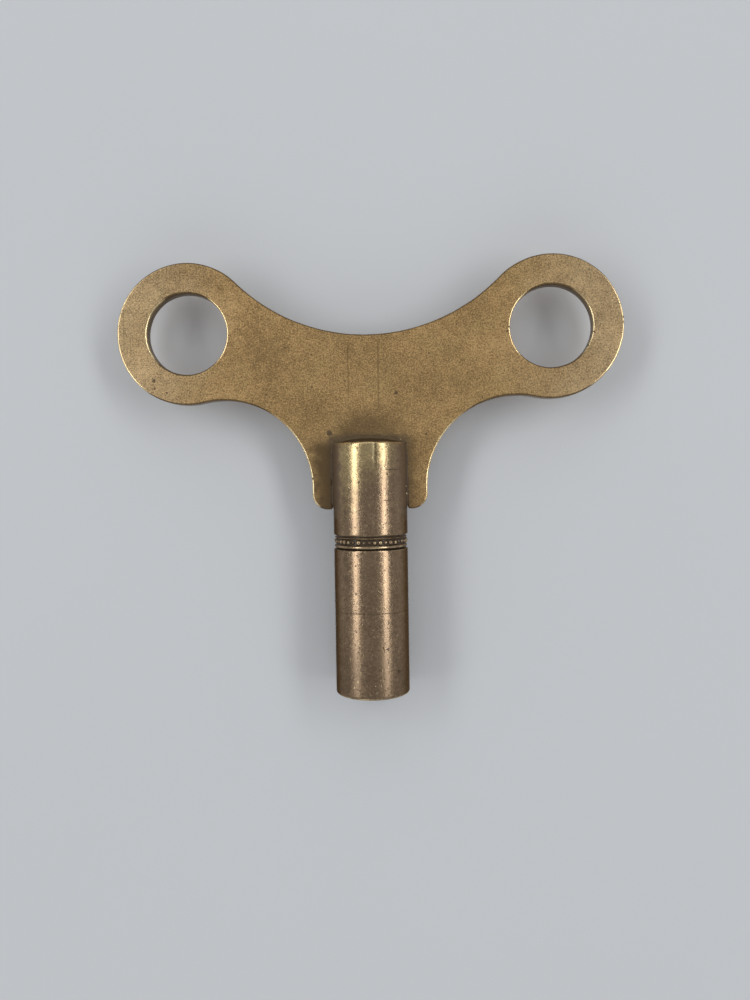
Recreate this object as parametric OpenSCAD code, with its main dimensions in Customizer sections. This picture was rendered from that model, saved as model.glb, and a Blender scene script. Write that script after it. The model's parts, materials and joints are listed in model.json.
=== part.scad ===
// Radiator bleed key
//
// A flat brass bow with two finger holes is halved into the top of a round
// brass shank and soldered there. The shank carries a turned and knurled band
// and ends in a square socket that fits the bleed valve's spindle.
//
// Millimetres. The key lies flat: +Y runs up the shank to the bow, +X points
// to the right wing and +Z out of the bow's face. The origin is the centre of
// the socket's mouth, on the shank's axis.

/* [Shank] */

// Diameter of the round shank
shank_d = 9; // [7:0.1:14]

// Length of the shank, from the socket's mouth to the rim of its top end
shank_len = 30.4; // [24:0.1:60]

// How far the top end domes up past its rim
dome_rise = 0.6; // [0.2:0.1:2]

// Chamfer on the shank's two end edges
shank_edge = 0.25; // [0.1:0.05:0.6]

/* [Socket] */

// Width across the flats of the square socket
socket_af = 5; // [3:0.1:8]

// Depth of the square part of the socket
socket_depth = 14; // [6:0.5:22]

// How much wider than the square's flats the pilot hole is drilled
pilot_over = 0.3; // [0.1:0.05:0.8]

// How far the pilot hole runs on past the square
pilot_extra = 2; // [1:0.5:4]

// Point angle of the pilot drill, in degrees
drill_point = 118; // [90:1:140]

// How much wider than the pilot hole the lead-in opens at the mouth
lead_in_over = 0.9; // [0.2:0.1:2]

/* [Band] */

// Height of the bead row above the mouth
bead_rise = 18.6; // [12:0.1:40]

// Diameter of one knurled bead
bead_d = 0.55; // [0.3:0.05:1]

// Number of beads around the shank
bead_count = 40; // [24:1:60]

// How far the bead tops sit below the shank's surface
bead_sink = 0.06; // [0:0.01:0.3]

// How far the floor under the beads sits below the shank's surface
bead_floor = 0.32; // [0.15:0.01:0.45]

// Width of the track that the beads sit in
bead_track = 0.66; // [0.4:0.02:1.4]

// Thickness of the thin ridge above the beads
thin_ridge = 0.16; // [0.1:0.02:0.5]

// Thickness of the plain rounded ridge below the beads
plain_ridge = 0.5; // [0.3:0.02:1]

// How far the two ridges sit below the shank's surface
ridge_sink = 0.1; // [0:0.02:0.3]

// Width of the groove at each edge of the band
edge_groove = 0.22; // [0.1:0.02:0.5]

// Depth of the groove at the band's upper edge
upper_groove = 0.26; // [0.1:0.02:0.5]

// Depth of the groove at the band's lower edge
lower_groove = 0.4; // [0.1:0.02:0.6]

// Height of the fine scribed line above the mouth
scribe_rise = 10.2; // [4:0.1:16]

// Depth of the fine scribed line
scribe_depth = 0.06; // [0.03:0.01:0.15]

/* [Bow] */

// Thickness of the bow plate
plate_t = 1.5; // [1:0.1:3]

// Diameter of each finger hole
hole_d = 9.8; // [6:0.1:20]

// Distance from the shank's axis to each finger hole's centre
hole_x = 22; // [16:0.5:40]

// Height of the finger holes' centres above the shank's top end
hole_rise = 13.6; // [10:0.1:30]

// Width of metal around each finger hole
lobe_wall = 3.7; // [2:0.1:8]

// How far the middle of the top edge dips below the holes' centres
top_dip = 0.5; // [0:0.1:4]

/* [Legs] */

// How far the legs reach down beside the shank, from its top end
leg_drop = 8; // [5:0.1:12]

// Width of each leg beside the shank
leg_w = 2.45; // [1.5:0.05:5]

// Straight stretch of each leg's outer side, up from its foot
leg_straight = 2.7; // [2.2:0.1:5]

// Radius of each leg's outer corner
leg_outer_r = 1.9; // [0.5:0.1:3]

// Radius of each leg's inner corner
leg_inner_r = 0.3; // [0.1:0.05:0.8]

/* [Joint] */

// Depth of the slot sawn into the shank's top end
slot_depth = 4.2; // [2.5:0.1:6]

// Gap between the plate's face and each side of the slot
slot_clear = 0.05; // [0.02:0.01:0.15]

// Gap between each leg and the shank
notch_clear = 0.06; // [0.02:0.01:0.15]

// Gap between the slot's floor and the top of the plate's notch
floor_clear = 0.1; // [0.02:0.01:0.3]

// Leg of the solder fillet along the seam
fillet = 0.4; // [0.2:0.05:0.8]

/* [Hidden] */

$fn = 96;
eps = 0.5;

// Shank
shank_r = shank_d / 2;
pilot_r = (socket_af + pilot_over) / 2;
pilot_end = socket_depth + pilot_extra;
pilot_tip = pilot_r / tan(drill_point / 2);
mouth_r = pilot_r + lead_in_over / 2;
rim_r = shank_r - shank_edge;
dome_r = (pow(rim_r, 2) + pow(dome_rise, 2)) / (2 * dome_rise);
dome_y = shank_len + dome_rise - dome_r;

// Band, from its lower edge to its upper edge
track_lo = bead_rise - bead_track / 2;
track_hi = bead_rise + bead_track / 2;
plain_lo = track_lo - plain_ridge;
band_lo = plain_lo - edge_groove;
thin_hi = track_hi + thin_ridge;
band_hi = thin_hi + edge_groove;
ridge_r = shank_r - ridge_sink;
bead_at = shank_r - bead_sink - bead_d / 2;

// Bow
lobe_r = hole_d / 2 + lobe_wall;
hole_y = shank_len + hole_rise;
top_low = hole_y - top_dip;
leg_y = shank_len - leg_drop;
leg_in = shank_r + notch_clear;
leg_out = leg_in + leg_w;
waist_y = leg_y + leg_straight;
slot_y = shank_len - slot_depth;
notch_y = slot_y + floor_clear;

// The top edge is one arc, tangent to both lobes and lowest on the axis
top_r = (pow(hole_x, 2) + pow(top_dip, 2) - pow(lobe_r, 2)) / (2 * (lobe_r + top_dip));
top_c = [0, top_low + top_r];

// Each side edge is one arc, tangent to the lobe and upright at the leg
side_dx = hole_x - leg_out;
side_dy = hole_y - waist_y;
side_r = (pow(side_dx, 2) + pow(side_dy, 2) - pow(lobe_r, 2)) / (2 * (lobe_r + side_dx));
side_c = [leg_out + side_r, waist_y];

// Both arcs are cut this much deep, so that they cross the lobes and legs in a
// clean edge where they would only touch them
arc_bite = 0.001;
lobe_c = [hole_x, hole_y];

// Copies its children to both sides of the shank's axis.
module both_wings() {
    children();
    mirror([1, 0, 0])
        children();
}

// Copies its children to both faces of the plate.
module both_faces() {
    children();
    mirror([0, 0, 1])
        children();
}

// Gives a flat outline the plate's thickness, and a cut a little more each way.
module slab(past = 0) {
    translate([0, 0, -plate_t / 2 - past])
        linear_extrude(plate_t + 2 * past)
            children();
}

// The sliver outside a rounded corner: the corner is at the origin, and the
// metal lies towards sx, sy.
module corner_cut(r, sx, sy) {
    slab(eps)
        difference() {
            translate([min(0, sx * r), min(0, sy * r)])
                square(r);
            translate([sx * r, sy * r])
                circle(r);
        }
}

// One wing of the bow: its lobe and its half of the web, down to the waist.
module wing() {
    difference() {
        union() {
            slab()
                translate(lobe_c)
                    circle(lobe_r);
            slab()
                polygon([
                    [-eps, waist_y],
                    [-eps, top_c[1]],
                    top_c,
                    lobe_c,
                    side_c,
                    [leg_out, waist_y]
                ]);
        }
        slab(eps)
            translate(top_c)
                circle(top_r + arc_bite);
        slab(eps)
            translate(side_c)
                circle(side_r + arc_bite);
        slab(eps)
            translate(lobe_c)
                circle(hole_d / 2);
    }
}

// One leg, with its rounded foot.
module leg() {
    difference() {
        slab()
            translate([leg_in, leg_y])
                square([leg_w, leg_straight + eps]);
        translate([leg_out, leg_y])
            corner_cut(leg_outer_r, -1, 1);
        translate([leg_in, leg_y])
            corner_cut(leg_inner_r, 1, 1);
    }
}

// The bow, stamped flat from sheet, with the notch that straddles the shank.
module bow_plate() {
    color("#a98a55")
        union() {
            difference() {
                both_wings()
                    wing();
                slab(eps)
                    translate([-leg_in, leg_y])
                        square([2 * leg_in, notch_y - leg_y]);
            }
            both_wings()
                leg();
        }
}

// Half section of the shank's outside: x is the radius, y the height. The
// chamfer at the top runs on past the rim, to where the dome cuts it off.
module shank_profile() {
    past = dome_rise + eps;
    difference() {
        polygon([
            [0, 0],
            [rim_r, 0],
            [shank_r, shank_edge],
            [shank_r, shank_len - shank_edge],
            [rim_r - past, shank_len + past],
            [0, shank_len + past]
        ]);
        difference() {
            translate([-eps, shank_len - shank_edge / 2])
                square([shank_d, shank_d]);
            translate([0, dome_y])
                circle(dome_r);
        }
        translate([shank_r - lower_groove, band_lo])
            square([shank_r, edge_groove]);
        translate([ridge_r, plain_lo])
            square([shank_r, plain_ridge]);
        translate([shank_r - bead_floor, track_lo])
            square([shank_r, bead_track]);
        translate([ridge_r, track_hi])
            square([shank_r, thin_ridge]);
        translate([shank_r - upper_groove, thin_hi])
            square([shank_r, edge_groove]);
        polygon([
            [shank_r - scribe_depth, scribe_rise],
            [shank_r + scribe_depth, scribe_rise - 2 * scribe_depth],
            [shank_r + scribe_depth, scribe_rise + 2 * scribe_depth]
        ]);
    }
}

// Stands its children's Z axis along +Y, up the shank.
module along_shank() {
    rotate([-90, 0, 0])
        children();
}

// The knurled beads of the band.
module beads() {
    for (i = [0 : bead_count - 1])
        rotate([0, 0, 360 * i / bead_count])
            translate([bead_at, 0, bead_rise])
                sphere(d = bead_d);
}

// The square socket, the round pilot hole it was broached in and its lead-in.
module socket_cut() {
    translate([-socket_af / 2, -socket_af / 2, -eps])
        cube([socket_af, socket_af, socket_depth + eps]);
    rotate_extrude()
        polygon([
            [0, -eps],
            [mouth_r + eps, -eps],
            [pilot_r, mouth_r - pilot_r],
            [pilot_r, pilot_end],
            [0, pilot_end + pilot_tip]
        ]);
}

// The slot across the shank's top end that takes the plate.
module slot_cut() {
    slot_w = plate_t + 2 * slot_clear;
    translate([-shank_d, slot_y, -slot_w / 2])
        cube([2 * shank_d, slot_depth + dome_rise + eps, slot_w]);
}

// The turned shank, slotted at its top and broached at its mouth.
module shank() {
    color("#7d6242")
        difference() {
            along_shank() {
                difference() {
                    union() {
                        rotate_extrude()
                            shank_profile();
                        beads();
                    }
                    socket_cut();
                }
            }
            slot_cut();
        }
}

// Solder drawn through the gaps between the plate and the shank.
module solder_film() {
    // The two sides and the floor of the shank's slot
    difference() {
        intersection() {
            along_shank()
                cylinder(h = shank_len - shank_edge, r = shank_r);
            translate([-shank_r, slot_y, -plate_t / 2 - slot_clear])
                cube([shank_d, slot_depth, plate_t + 2 * slot_clear]);
        }
        translate([-shank_d, notch_y, -plate_t / 2])
            cube([2 * shank_d, slot_depth, plate_t]);
    }
    // The two sides of the plate's notch
    difference() {
        translate([-leg_in, leg_y + leg_inner_r, -plate_t / 2])
            cube([2 * leg_in, notch_y - leg_y - leg_inner_r, plate_t]);
        along_shank()
            cylinder(h = shank_len, r = shank_r);
    }
}

// The fillet that the solder leaves along the seam on one face of the plate:
// straight beside the shank, and curved round the foot of its domed end.
module solder_fillet() {
    half_t = plate_t / 2;
    seam_x = sqrt(pow(shank_r, 2) - pow(half_t, 2));
    seam_r = sqrt(pow(dome_r, 2) - pow(half_t, 2));
    seam_lo = leg_y + leg_inner_r;
    difference() {
        union() {
            both_wings()
                translate([0, seam_lo, 0])
                    along_shank()
                        linear_extrude(shank_len - seam_lo)
                            polygon([
                                [0, -half_t],
                                [seam_x + fillet, -half_t],
                                [seam_x, -half_t - fillet],
                                [0, -half_t - fillet]
                            ]);
            intersection() {
                translate([0, dome_y, half_t])
                    cylinder(h = fillet, r1 = seam_r + fillet, r2 = seam_r);
                translate([-seam_x, shank_len - shank_edge, 0])
                    cube([2 * seam_x, shank_d, shank_d]);
            }
        }
        along_shank()
            rotate_extrude()
                shank_profile();
    }
}

// The soldered seam that holds the bow in the shank.
module solder_joint() {
    color("#4a3a28") {
        solder_film();
        both_faces()
            solder_fillet();
    }
}

bow_plate();
shank();
solder_joint();
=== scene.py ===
import json
import math

import bmesh
import bpy
from bpy.props import FloatProperty, FloatVectorProperty, IntProperty, PointerProperty
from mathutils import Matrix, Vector, noise
from mathutils.geometry import delaunay_2d_cdt


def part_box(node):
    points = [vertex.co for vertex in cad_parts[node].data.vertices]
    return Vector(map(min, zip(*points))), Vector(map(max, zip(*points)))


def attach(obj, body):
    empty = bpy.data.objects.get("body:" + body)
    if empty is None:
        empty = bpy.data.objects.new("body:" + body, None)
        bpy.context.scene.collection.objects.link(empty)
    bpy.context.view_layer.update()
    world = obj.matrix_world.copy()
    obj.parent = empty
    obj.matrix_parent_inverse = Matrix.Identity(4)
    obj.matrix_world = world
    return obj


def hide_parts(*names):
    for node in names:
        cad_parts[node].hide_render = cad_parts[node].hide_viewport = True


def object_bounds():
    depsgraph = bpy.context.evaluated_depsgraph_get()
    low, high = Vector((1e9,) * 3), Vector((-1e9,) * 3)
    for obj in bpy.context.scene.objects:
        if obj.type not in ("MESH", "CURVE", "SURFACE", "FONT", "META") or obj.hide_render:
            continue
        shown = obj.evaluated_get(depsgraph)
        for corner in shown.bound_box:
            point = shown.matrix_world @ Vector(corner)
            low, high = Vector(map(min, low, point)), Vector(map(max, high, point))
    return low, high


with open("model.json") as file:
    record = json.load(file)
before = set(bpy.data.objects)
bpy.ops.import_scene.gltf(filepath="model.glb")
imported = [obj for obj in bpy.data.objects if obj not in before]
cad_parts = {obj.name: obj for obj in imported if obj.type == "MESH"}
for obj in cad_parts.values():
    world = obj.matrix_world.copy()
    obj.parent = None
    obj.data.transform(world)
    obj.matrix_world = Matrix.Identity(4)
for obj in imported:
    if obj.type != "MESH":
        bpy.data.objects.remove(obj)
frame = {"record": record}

bl_info = {
    "name": "Radiator bleed key",
    "version": (1, 0, 0),
    "blender": (4, 5, 0),
    "location": "3D View > Sidebar > Bleed key",
    "description": "A stamped brass bow soldered into a turned brass shank with a square socket",
    "category": "Add Mesh",
}

MM = 0.001
CAD_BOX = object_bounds()
SHANK_LOW, SHANK_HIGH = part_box("shank")
BOW_LOW, BOW_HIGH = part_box("bow_plate")
HOLE = next(m for m in frame["record"]["mounts"] if m["name"] == "right_finger_hole")

# Fits, cuts and corners that have no slider, in millimetres
SLOT_DEPTH = 4.2  # slot sawn into the shank's top end
SLOT_CLEAR = 0.05  # plate's face to each side of the slot
FLOOR_CLEAR = 0.1  # slot's floor to the top of the plate's notch
NOTCH_CLEAR = 0.06  # shank's side to each leg
LEG_STRAIGHT = 2.7  # straight stretch of each leg's outer side, up from its foot
LEG_INNER_R = 0.3  # corner of each foot beside the shank
LEG_OUTER_R = 1.9  # corner of each foot away from the shank
DOME_INSET = 0.2  # shank's side to the rim of its domed end
BEAD_SINK = 0.06  # tops of the beads below the shank's side
TRACK_HALF = 0.3  # half the width of the track that the beads stand in
PILOT_OVER = 0.15  # pilot hole's radius past half the socket's width
PILOT_PAST = 2.0  # pilot hole's side past the end of the square
DRILL_HALF_ANGLE = 59  # degrees, of the drill's point
LEAD_IN = 0.45  # depth of the 45 degree lead-in
PAST = 0.5  # how far the socket's cutters start outside the mouth
SEAM_TUCK = 0.05  # how far the seam's corners sit inside the shank's outline

# How finely the meshes are divided
BEAD_COLUMNS = 9  # columns of faces to a bead
TOOL_COLUMNS = 96  # columns of faces round a drill
SEAM_COLUMNS = 7  # points across the solder
SLIVER = 0.003  # points nearer than this many millimetres become one after a cut
FILL_INSIDE = 2  # fills an outline with triangles and leaves its holes open

# The mesh layer that marks rubbed edges, and a Mix node's colour sockets
RIM = "rim"
MIX_A, MIX_B, MIX_RESULT = 6, 7, 2


# ---------------------------------------------------------------- sizes and finishes


class KeySizes(bpy.types.PropertyGroup):
    """The sizes that shape the key."""

    shank_d: FloatProperty(
        name="Shank diameter", description="Diameter of the round shank",
        default=SHANK_HIGH.x - SHANK_LOW.x, min=0.005, unit="LENGTH", precision=5)
    shank_len: FloatProperty(
        name="Shank length", description="Mouth of the socket to the rim of the top end",
        default=30.4 * MM, min=0.02, unit="LENGTH", precision=5)
    dome_rise: FloatProperty(
        name="Dome", description="How far the shank's top end domes up past its rim",
        default=0.6 * MM, min=0.0001, unit="LENGTH", precision=5)
    socket_af: FloatProperty(
        name="Socket", description="Width across the flats of the square socket",
        default=5.0 * MM, min=0.002, unit="LENGTH", precision=5)
    socket_depth: FloatProperty(
        name="Socket depth", description="Depth of the square part of the socket",
        default=14.0 * MM, min=0.002, unit="LENGTH", precision=5)
    bead_rise: FloatProperty(
        name="Bead row", description="Height of the bead row above the mouth",
        default=18.6 * MM, min=0.0, unit="LENGTH", precision=5)
    bead_d: FloatProperty(
        name="Bead diameter", description="Diameter of one knurled bead",
        default=0.55 * MM, min=0.0001, unit="LENGTH", precision=5)
    bead_count: IntProperty(
        name="Beads", description="Number of knurled beads round the shank",
        default=40, min=12, max=80)
    scribe_rise: FloatProperty(
        name="Scribed line", description="Height of the fine scribed line above the mouth",
        default=10.2 * MM, min=0.0, unit="LENGTH", precision=5)
    plate_t: FloatProperty(
        name="Plate thickness", description="Thickness of the bow plate",
        default=BOW_HIGH.z - BOW_LOW.z, min=0.0005, unit="LENGTH", precision=5)
    hole_d: FloatProperty(
        name="Finger hole", description="Diameter of each finger hole",
        default=2 * HOLE["dims"]["r_mm"] * MM, min=0.002, unit="LENGTH", precision=5)
    hole_x: FloatProperty(
        name="Hole offset", description="Shank's axis to the centre of each finger hole",
        default=HOLE["pos_m"][0], min=0.005, unit="LENGTH", precision=5)
    hole_y: FloatProperty(
        name="Hole height", description="Mouth of the socket to the centres of the finger holes",
        default=HOLE["pos_m"][1], min=0.02, unit="LENGTH", precision=5)
    lobe_r: FloatProperty(
        name="Lobe radius", description="Outer radius of each lobe of the bow",
        default=BOW_HIGH.x - HOLE["pos_m"][0], min=0.002, unit="LENGTH", precision=5)
    top_dip: FloatProperty(
        name="Top dip", description="How far the top edge dips below the holes' centres",
        default=0.5 * MM, min=0.0, unit="LENGTH", precision=5)
    leg_y: FloatProperty(
        name="Leg foot", description="Mouth of the socket to the feet of the legs",
        default=BOW_LOW.y, min=0.005, unit="LENGTH", precision=5)
    leg_w: FloatProperty(
        name="Leg width", description="Width of each leg beside the shank",
        default=2.45 * MM, min=0.001, unit="LENGTH", precision=5)
    edge_roll: FloatProperty(
        name="Rolled edge",
        description="Radius that stamping and tumbling left on the bow's upper edge",
        default=0.2 * MM, min=0.00002, unit="LENGTH", precision=5)
    edge_burr: FloatProperty(
        name="Lower edge",
        description="Radius of the bow's lower edge, where the tool broke through",
        default=0.09 * MM, min=0.00001, unit="LENGTH", precision=5)
    seam: FloatProperty(
        name="Solder seam", description="Width of the solder left along the seam",
        default=0.40 * MM, min=0.00005, unit="LENGTH", precision=5)


class KeyFinishes(bpy.types.PropertyGroup):
    """The colours of the key's metals and of what it lies on."""

    bow_light: FloatVectorProperty(
        name="Bow brass", description="Clean satin brass of the bow",
        subtype="COLOR", size=3, min=0.0, max=1.0, default=(0.90, 0.575, 0.25))
    bow_pale: FloatVectorProperty(
        name="Bow handling", description="Paler, greyer brass where the lobes are handled",
        subtype="COLOR", size=3, min=0.0, max=1.0, default=(0.62, 0.49, 0.32))
    # Also darkened into the painted shade by the shank and on the bow's edge walls
    bow_dull: FloatVectorProperty(
        name="Bow tarnish", description="Duller brass in the bow's mottling",
        subtype="COLOR", size=3, min=0.0, max=1.0, default=(0.40, 0.245, 0.105))
    bow_olive: FloatVectorProperty(
        name="Bow patina", description="Greener brass in broad patches of the bow",
        subtype="COLOR", size=3, min=0.0, max=1.0, default=(0.50, 0.40, 0.17))
    shank_gold: FloatVectorProperty(
        name="Shank brass", description="Cleaner brass near the shank's top",
        subtype="COLOR", size=3, min=0.0, max=1.0, default=(0.52, 0.385, 0.19))
    # Also darkened into the painted shade down the shank's flanks and beside the plate
    shank_brown: FloatVectorProperty(
        name="Shank patina", description="Brown patina on the rest of the shank",
        subtype="COLOR", size=3, min=0.0, max=1.0, default=(0.30, 0.200, 0.120))
    # Also laid as painted shade in the bow's corner by the shank, on its rims facing along the key
    # and on the shank's domed end
    dirt: FloatVectorProperty(
        name="Dirt", description="Old dirt and oxide in corners, pits and grooves",
        subtype="COLOR", size=3, min=0.0, max=1.0, default=(0.045, 0.027, 0.012))
    # Also a painted highlight on the bow's rims that face sideways
    burnish: FloatVectorProperty(
        name="Burnish", description="Bright brass on rubbed edges",
        subtype="COLOR", size=3, min=0.0, max=1.0, default=(0.93, 0.74, 0.42))
    solder: FloatVectorProperty(
        name="Solder", description="Dark old solder along the seam",
        subtype="COLOR", size=3, min=0.0, max=1.0, default=(0.12, 0.080, 0.038))
    floor: FloatVectorProperty(
        name="Floor", description="Plain surface that the key lies on",
        subtype="COLOR", size=3, min=0.0, max=1.0, default=(0.60, 0.60, 0.61))


# ---------------------------------------------------------------- shader recipes


class Value:
    """A socket that takes part in Python arithmetic; each operation adds a Math node."""

    def __init__(self, recipe, socket):
        self.recipe = recipe
        self.socket = socket

    def __add__(self, other):
        return self.recipe.math("ADD", self, other)

    __radd__ = __add__

    def __sub__(self, other):
        return self.recipe.math("SUBTRACT", self, other)

    def __rsub__(self, other):
        return self.recipe.math("SUBTRACT", other, self)

    def __mul__(self, other):
        return self.recipe.math("MULTIPLY", self, other)

    __rmul__ = __mul__

    def __truediv__(self, other):
        return self.recipe.math("DIVIDE", self, other)

    def __rtruediv__(self, other):
        return self.recipe.math("DIVIDE", other, self)

    def __pow__(self, other):
        return self.recipe.math("POWER", self, other)

    def __rpow__(self, other):
        return self.recipe.math("POWER", other, self)

    def __abs__(self):
        return self.recipe.math("ABSOLUTE", self)


class Recipe:
    """Builds one metal's node tree."""

    def __init__(self, name):
        self.material = bpy.data.materials.new(name)
        self.material.use_nodes = True
        self.tree = self.material.node_tree
        self.tree.nodes.clear()

    def feed(self, socket, value):
        """Links a value to a socket, or sets a number, vector or colour on it."""
        if isinstance(value, Value):
            self.tree.links.new(value.socket, socket)
        elif hasattr(value, "__len__") and len(socket.default_value) == 4:
            socket.default_value = (*value[:3], 1.0)
        else:
            socket.default_value = value

    def node(self, kind, settings=None, inputs=None, out=0):
        """Adds a node: its settings first, then the values or links of its sockets.

        out names the output to return, or a tuple of several, or None.
        """
        n = self.tree.nodes.new(kind)
        for key, value in (settings or {}).items():
            setattr(n, key, value)
        for key, value in (inputs or {}).items():
            self.feed(n.inputs[key], value)
        if isinstance(out, tuple):
            return [Value(self, n.outputs[key]) for key in out]
        return Value(self, n.outputs[out]) if out is not None else None

    def math(self, operation, a, b=0.0):
        return self.node("ShaderNodeMath", {"operation": operation}, {0: a, 1: b})

    def larger(self, a, b):
        return self.math("MAXIMUM", a, b)

    def rise(self, value, low, high, start=0.0, end=1.0):
        """A smooth step from start to end while value goes from low to high."""
        return self.node(
            "ShaderNodeMapRange",
            {"interpolation_type": "SMOOTHSTEP", "clamp": True},
            {"Value": value, "From Min": low, "From Max": high, "To Min": start, "To Max": end})

    def mix(self, factor, a, b, blend="MIX"):
        return self.node(
            "ShaderNodeMix",
            {"data_type": "RGBA", "blend_type": blend, "clamp_factor": True},
            {0: factor, MIX_A: a, MIX_B: b}, out=MIX_RESULT)

    def lay(self, colour, *layers):
        """Lays tints over a colour in turn; a layer is its mask, its strength and its tint."""
        for mask, strength, tint in layers:
            colour = self.mix(mask * strength, colour, tint)
        return colour

    def shade(self, colour, amount):
        """Multiplies a colour by a grey amount."""
        grey = self.node("ShaderNodeCombineColor", None, {0: amount, 1: amount, 2: amount})
        return self.mix(1.0, colour, grey, "MULTIPLY")

    def place(self):
        """Position in the key's own frame, in millimetres: the vector, then x, y and z."""
        raw = self.node("ShaderNodeTexCoord", out="Object")
        at = self.node(
            "ShaderNodeVectorMath", {"operation": "SCALE"}, {"Vector": raw, "Scale": 1 / MM})
        return [at] + self.node("ShaderNodeSeparateXYZ", None, {0: at}, out=(0, 1, 2))

    def facing(self):
        """The x, y and z of the surface's own direction."""
        normal = self.node("ShaderNodeNewGeometry", out="Normal")
        return self.node("ShaderNodeSeparateXYZ", None, {0: normal}, out=(0, 1, 2))

    def rim(self):
        """How much each edge is rubbed, as marked on the mesh."""
        return self.node("ShaderNodeAttribute", {"attribute_name": RIM}, out="Fac")

    def stretched(self, at, x, y, z):
        return self.node("ShaderNodeVectorMath", {"operation": "MULTIPLY"}, {0: at, 1: (x, y, z)})

    def grain(self, at, per_mm, detail=2.0, rough=0.5):
        """Noise between 0 and 1, with a middle of 0.5."""
        return self.node(
            "ShaderNodeTexNoise", None,
            {"Vector": at, "Scale": per_mm, "Detail": detail, "Roughness": rough})

    def specks(self, at, per_mm, share, size):
        """Scattered round spots: share is how many cells hold one, size its radius in cells."""
        near, cell = self.node(
            "ShaderNodeTexVoronoi", None, {"Vector": at, "Scale": per_mm},
            out=("Distance", "Color"))
        pick = self.node("ShaderNodeSeparateColor", None, {0: cell})
        chosen = self.rise(pick, share + 0.01, share)
        return chosen * self.rise(near, size, size * 0.55)

    def dots(self, x, y, ragged, places, outer, inner):
        """Round marks at places given as x, y and radius, fading from outer to inner radii."""
        marks = 0.0
        for dot_x, dot_y, radius in places:
            off = span(x - dot_x, y - dot_y) + ragged
            marks = self.larger(marks, self.rise(off, radius * outer, radius * inner))
        return marks

    def metal(self, colour, metallic, rough, height, depth_mm, **fixed):
        """Joins everything to the shader; height is turned into bumps of depth_mm."""
        bump = self.node(
            "ShaderNodeBump", None,
            {"Strength": 1.0, "Distance": depth_mm * MM, "Height": height})
        looks = {"Base Color": colour, "Metallic": metallic, "Roughness": rough, "Normal": bump}
        shader = self.node("ShaderNodeBsdfPrincipled", None, {**looks, **fixed})
        self.node("ShaderNodeOutputMaterial", None, {"Surface": shader}, out=None)
        return self.material


def span(a, b):
    """The distance covered by going a one way and b square to it."""
    return (a ** 2.0 + b ** 2.0) ** 0.5


# Spots on the bow's upper face, in millimetres: x, y and radius
BOW_SPOTS = [
    (-4.78, 31.7, 0.44), (3.34, 36.37, 0.28), (-2.8, 37.93, 0.15), (-6.86, 41.14, 0.14),
    (-6.81, 37.29, 0.15), (-6.85, 34.88, 0.14), (-12.43, 36.43, 0.16), (-10.0, 42.04, 0.14),
    (10.64, 44.45, 0.14), (7.37, 41.07, 0.18), (13.64, 35.69, 0.16), (-26.13, 38.39, 0.28),
    (-26.03, 37.42, 0.18), (-24.56, 36.91, 0.16), (16.7, 43.48, 0.16), (6.88, 31.38, 0.2),
]

# Nicks in the bow's edges, in millimetres: x, y and radius
BOW_NICKS = [
    (30.5, 44.85, 0.17), (30.5, 44.25, 0.15), (17.0, 44.0, 0.14), (26.3, 41.6, 0.13),
    (27.0, 43.2, 0.12), (-29.9, 40.4, 0.15), (-6.9, 26.2, 0.14),
]

# Patches on the bow, in millimetres: x, y, radius and change of tone
# Most are tarnish; the darker top and lighter left side of the left lobe are painted shade and
# painted light
BOW_PATCHES_AND_SHADING = [
    (-22.0, 50.8, 7.0, -0.24), (-12.2, 42.3, 5.5, -0.16), (-28.5, 41.5, 5.0, 0.128),
    (-16.5, 38.0, 5.0, 0.08), (13.5, 43.0, 5.0, 0.096),
]

# Fine upright lines on the bow's upper face: x, lowest y, highest y and half width
BOW_LINES = [
    (-2.42, 35.4, 43.2, 0.05), (1.22, 33.6, 43.4, 0.06), (-29.7, 41.8, 48.4, 0.04),
    (-28.9, 40.6, 44.6, 0.035), (2.1, 37.6, 38.6, 0.05),
]


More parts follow.
